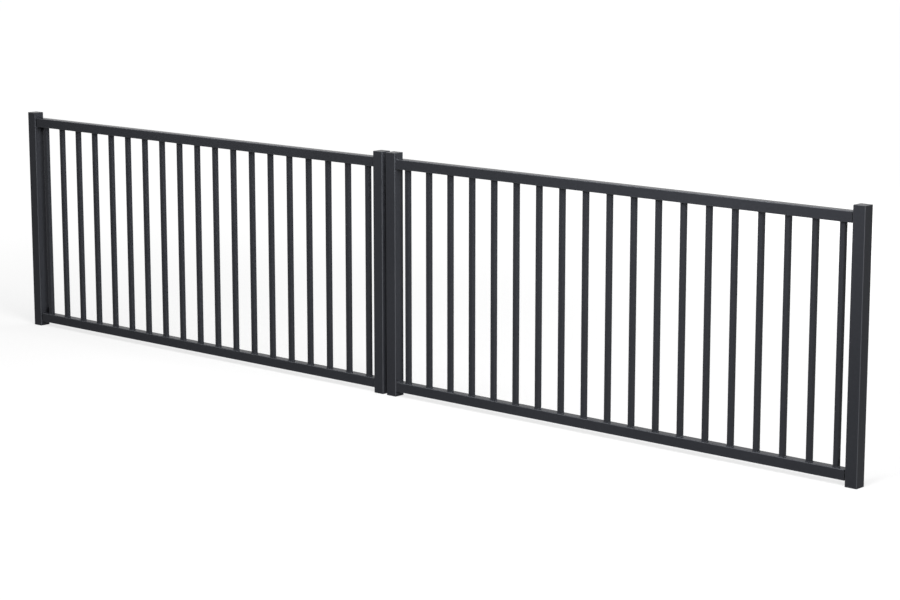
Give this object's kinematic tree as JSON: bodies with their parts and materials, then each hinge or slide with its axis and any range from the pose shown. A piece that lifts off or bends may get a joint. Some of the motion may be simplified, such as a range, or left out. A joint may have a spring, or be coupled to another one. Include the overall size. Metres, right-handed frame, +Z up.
{
  "type": "double-leaf driveway gate",
  "caption": "Double-leaf swing gate of square steel tube: leaves of upright bars between a top and a bottom rail, hung on fixed posts and meeting at the middle.",
  "frame": {"origin": "middle of the left post's flat foot face, at ground level", "axes": "+X along the closed gate to the right post, +Y to the property side that the leaves open to, +Z up"},
  "size_m": [4.5, 0.0671, 1],
  "materials": {
    "coated_steel": "satin anthracite powder coat",
    "moulded_plug": "fine matt moulding",
    "hinge_washer": "bright zinc plate"
  },
  "bodies": {
    "posts": {"left_post": "coated_steel", "left_post_cap": "moulded_plug", "left_post_foot": "coated_steel", "left_top_gudgeon": "coated_steel", "left_bottom_gudgeon": "coated_steel", "left_top_washer": "hinge_washer", "left_bottom_washer": "hinge_washer", "right_post": "coated_steel", "right_post_cap": "moulded_plug", "right_post_foot": "coated_steel", "right_top_gudgeon": "coated_steel", "right_bottom_gudgeon": "coated_steel", "right_top_washer": "hinge_washer", "right_bottom_washer": "hinge_washer"},
    "left_leaf": {"left_top_rail": "coated_steel", "left_bottom_rail": "coated_steel", "left_bars": "coated_steel", "left_stile": "coated_steel", "left_stile_cap": "moulded_plug", "left_stile_foot": "moulded_plug", "left_top_rail_plug": "moulded_plug", "left_bottom_rail_plug": "moulded_plug", "left_top_strap": "coated_steel", "left_bottom_strap": "coated_steel"},
    "right_leaf": {"right_top_rail": "coated_steel", "right_bottom_rail": "coated_steel", "right_bars": "coated_steel", "right_stile": "coated_steel", "right_stile_cap": "moulded_plug", "right_stile_foot": "moulded_plug", "right_top_rail_plug": "moulded_plug", "right_bottom_rail_plug": "moulded_plug", "right_top_strap": "coated_steel", "right_bottom_strap": "coated_steel"}
  },
  "joints": [
    {"name": "left_leaf_swing", "type": "hinge", "parent": "posts", "child": "left_leaf", "pos_m": [0.04, 0.03105, 0.5], "axis": [0, 0, 1], "range_deg": [0, 110]},
    {"name": "right_leaf_swing", "type": "hinge", "parent": "posts", "child": "right_leaf", "pos_m": [4.41, 0.03105, 0.5], "axis": [0, 0, -1], "range_deg": [0, 110]}
  ]
}
